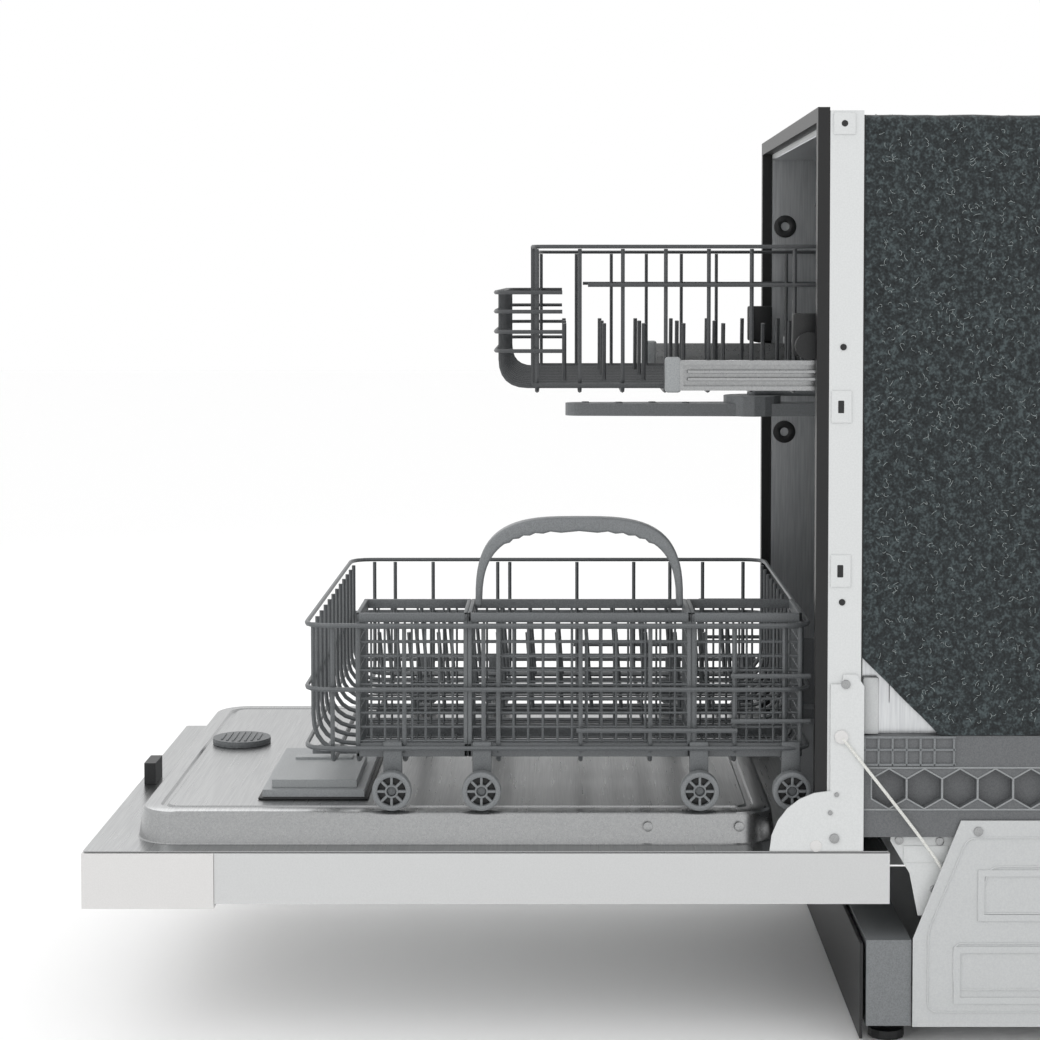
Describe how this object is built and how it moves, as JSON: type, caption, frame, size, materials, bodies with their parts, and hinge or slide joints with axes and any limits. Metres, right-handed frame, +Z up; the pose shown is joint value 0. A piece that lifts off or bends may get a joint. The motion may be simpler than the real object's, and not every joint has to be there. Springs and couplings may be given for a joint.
{
  "type": "built-in dishwasher",
  "caption": "Built-in dishwasher with steel tub, drop-down door, two wire racks on rails and wheels, cutlery basket, spray arms and machine base.",
  "frame": {"origin": "on the floor, at the middle of the object's box with the door open", "axes": "+Z up, front faces -Y, +X is the machine's right side"},
  "size_m": [0.6, 1.2706, 0.872],
  "materials": {
    "black_rubber": "matt black moulded seal",
    "painted_steel": "light grey coated sheet steel",
    "door_steel": "satin white-grey coated steel",
    "console_plastic": "satin light grey moulded plastic",
    "stainless": "brushed stainless sheet",
    "felt": "dark recycled-fibre felt with pale fibres",
    "tray_plastic": "moulded dark grey polypropylene",
    "black_plastic": "black moulded plastic",
    "grey_plastic": "mid grey moulded plastic",
    "wheel_plastic": "grey moulded wheel with dark spoked hub",
    "button_plastic": "grey button",
    "lower_wire": "grey nylon-coated steel wire",
    "upper_wire": "dark grey nylon-coated steel wire",
    "rail_steel": "bright rolled steel",
    "cable_cord": "braided white cord",
    "spring_steel": "zinc-plated spring wire and pulley"
  },
  "bodies": {
    "tub": {"door_seal": "black_rubber", "front_flange": "painted_steel", "tub_wrapper": "stainless", "tub_back": "stainless", "insulation": "felt", "base_tray": "tray_plastic", "sump": "grey_plastic", "heater": "rail_steel", "wash_pump": "black_plastic", "drain_pump": "grey_plastic", "inlet_valve": "grey_plastic", "bottom_pan": "painted_steel", "toe_frame": "tray_plastic", "toe_kick": "black_plastic", "foot_1": "black_plastic", "foot_2": "black_plastic", "foot_3": "black_plastic", "foot_4": "black_plastic", "side_panel_right": "painted_steel", "side_panel_left": "painted_steel", "hinge_bracket_right": "painted_steel", "hinge_bracket_left": "painted_steel", "balance_cable_right": "cable_cord", "balance_cable_left": "cable_cord", "balance_spring_right": "spring_steel", "balance_spring_left": "spring_steel"},
    "right_pulley": {"pulley_right": "spring_steel"},
    "left_pulley": {"pulley_left": "spring_steel"},
    "filter": {"filter": "rail_steel"},
    "lower_arm": {"lower_spray_arm": "grey_plastic"},
    "door": {"door_outer_panel": "door_steel", "console": "console_plastic", "door_liner": "stainless", "dispenser": "grey_plastic", "vent_cap": "grey_plastic", "door_latch": "black_plastic", "hinge_plate_right": "painted_steel", "hinge_plate_left": "painted_steel"},
    "lid": {"detergent_lid": "grey_plastic"},
    "rinse_cap": {"rinse_aid_cap": "grey_plastic"},
    "first_button": {"button_1": "button_plastic"},
    "second_button": {"button_2": "button_plastic"},
    "third_button": {"button_3": "button_plastic"},
    "lower_rack": {"lower_rack": "lower_wire"},
    "basket": {"cutlery_basket": "grey_plastic", "basket_handle": "grey_plastic"},
    "wheels_1": {"rack_wheel_1_right": "wheel_plastic", "rack_wheel_1_left": "wheel_plastic"},
    "wheels_2": {"rack_wheel_2_right": "wheel_plastic", "rack_wheel_2_left": "wheel_plastic"},
    "wheels_3": {"rack_wheel_3_right": "wheel_plastic", "rack_wheel_3_left": "wheel_plastic"},
    "wheels_4": {"rack_wheel_4_right": "wheel_plastic", "rack_wheel_4_left": "wheel_plastic"},
    "rails": {"upper_rail_right": "rail_steel", "upper_rail_left": "rail_steel"},
    "upper_rack": {"upper_rack": "upper_wire"},
    "rollers": {"rack_roller_right": "black_plastic", "rack_roller_left": "black_plastic"},
    "mid_arm": {"mid_spray_arm": "grey_plastic"}
  },
  "joints": [
    {"name": "door_hinge", "type": "hinge", "parent": "tub", "child": "door", "pos_m": [0, 0.0473, 0.189], "axis": [-1, 0, 0], "range_deg": [0, 20]},
    {"name": "lower_rack_slide", "type": "slide", "parent": "door", "child": "lower_rack", "axis": [0, -1, 0], "range_m": [-0.53, 0]},
    {"name": "upper_rail_slide", "type": "slide", "parent": "tub", "child": "rails", "axis": [0, -1, 0], "range_m": [-0.14, 0]},
    {"name": "upper_rack_slide", "type": "slide", "parent": "rails", "child": "upper_rack", "axis": [0, -1, 0], "range_m": [-0.16, 0]},
    {"name": "basket_lift", "type": "slide", "parent": "lower_rack", "child": "basket", "axis": [0, 0, -1], "range_m": [-0.08, 0]},
    {"name": "mid_arm_spin", "type": "hinge", "parent": "upper_rack", "child": "mid_arm", "pos_m": [0, 0.0103, 0.578], "axis": [0, 0, 1], "continuous": true},
    {"name": "lower_arm_spin", "type": "hinge", "parent": "tub", "child": "lower_arm", "pos_m": [0, 0.3453, 0.228], "axis": [0, 0, 1], "continuous": true},
    {"name": "filter_twist", "type": "hinge", "parent": "tub", "child": "filter", "pos_m": [0, 0.3453, 0.19], "axis": [0, 0, 1], "range_deg": [0, 90]},
    {"name": "detergent_lid_slide", "type": "slide", "parent": "door", "child": "lid", "axis": [1, 0, 0], "range_m": [0, 0.05]},
    {"name": "rinse_cap_twist", "type": "hinge", "parent": "door", "child": "rinse_cap", "pos_m": [0.048, -0.4287, 0.224], "axis": [0, 0, 1], "range_deg": [0, 90]},
    {"name": "right_pulley_spin", "type": "hinge", "parent": "tub", "child": "right_pulley", "pos_m": [0.288, 0.1813, 0.14], "axis": [1, 0, 0], "continuous": true},
    {"name": "left_pulley_spin", "type": "hinge", "parent": "tub", "child": "left_pulley", "pos_m": [-0.288, 0.1813, 0.14], "axis": [1, 0, 0], "continuous": true},
    {"name": "button_1_press", "type": "slide", "parent": "door", "child": "first_button", "axis": [0, 0, 1], "range_m": [0, 0.0008], "stiffness_N_per_m": 300},
    {"name": "button_2_press", "type": "slide", "parent": "door", "child": "second_button", "axis": [0, 0, 1], "range_m": [0, 0.0008], "stiffness_N_per_m": 300},
    {"name": "button_3_press", "type": "slide", "parent": "door", "child": "third_button", "axis": [0, 0, 1], "range_m": [0, 0.0008], "stiffness_N_per_m": 300},
    {"name": "wheel_1_roll", "type": "hinge", "parent": "lower_rack", "child": "wheels_1", "pos_m": [0, -0.3497, 0.233], "axis": [1, 0, 0], "continuous": true},
    {"name": "wheel_2_roll", "type": "hinge", "parent": "lower_rack", "child": "wheels_2", "pos_m": [0, -0.2652, 0.233], "axis": [1, 0, 0], "continuous": true},
    {"name": "wheel_3_roll", "type": "hinge", "parent": "lower_rack", "child": "wheels_3", "pos_m": [0, -0.0597, 0.233], "axis": [1, 0, 0], "continuous": true},
    {"name": "wheel_4_roll", "type": "hinge", "parent": "lower_rack", "child": "wheels_4", "pos_m": [0, 0.0273, 0.233], "axis": [1, 0, 0], "continuous": true},
    {"name": "roller_roll", "type": "hinge", "parent": "upper_rack", "child": "rollers", "pos_m": [0, 0.0403, 0.6525], "axis": [1, 0, 0], "continuous": true}
  ],
  "couplings": [
    {"joint": "wheel_1_roll", "follows": "lower_rack_slide", "rad_per_m": 54.054},
    {"joint": "wheel_2_roll", "follows": "lower_rack_slide", "rad_per_m": 54.054},
    {"joint": "wheel_3_roll", "follows": "lower_rack_slide", "rad_per_m": 54.054},
    {"joint": "wheel_4_roll", "follows": "lower_rack_slide", "rad_per_m": 54.054},
    {"joint": "roller_roll", "follows": "upper_rack_slide", "rad_per_m": 76.923},
    {"joint": "right_pulley_spin", "follows": "door_hinge", "ratio": -8.4},
    {"joint": "left_pulley_spin", "follows": "door_hinge", "ratio": -8.4}
  ]
}
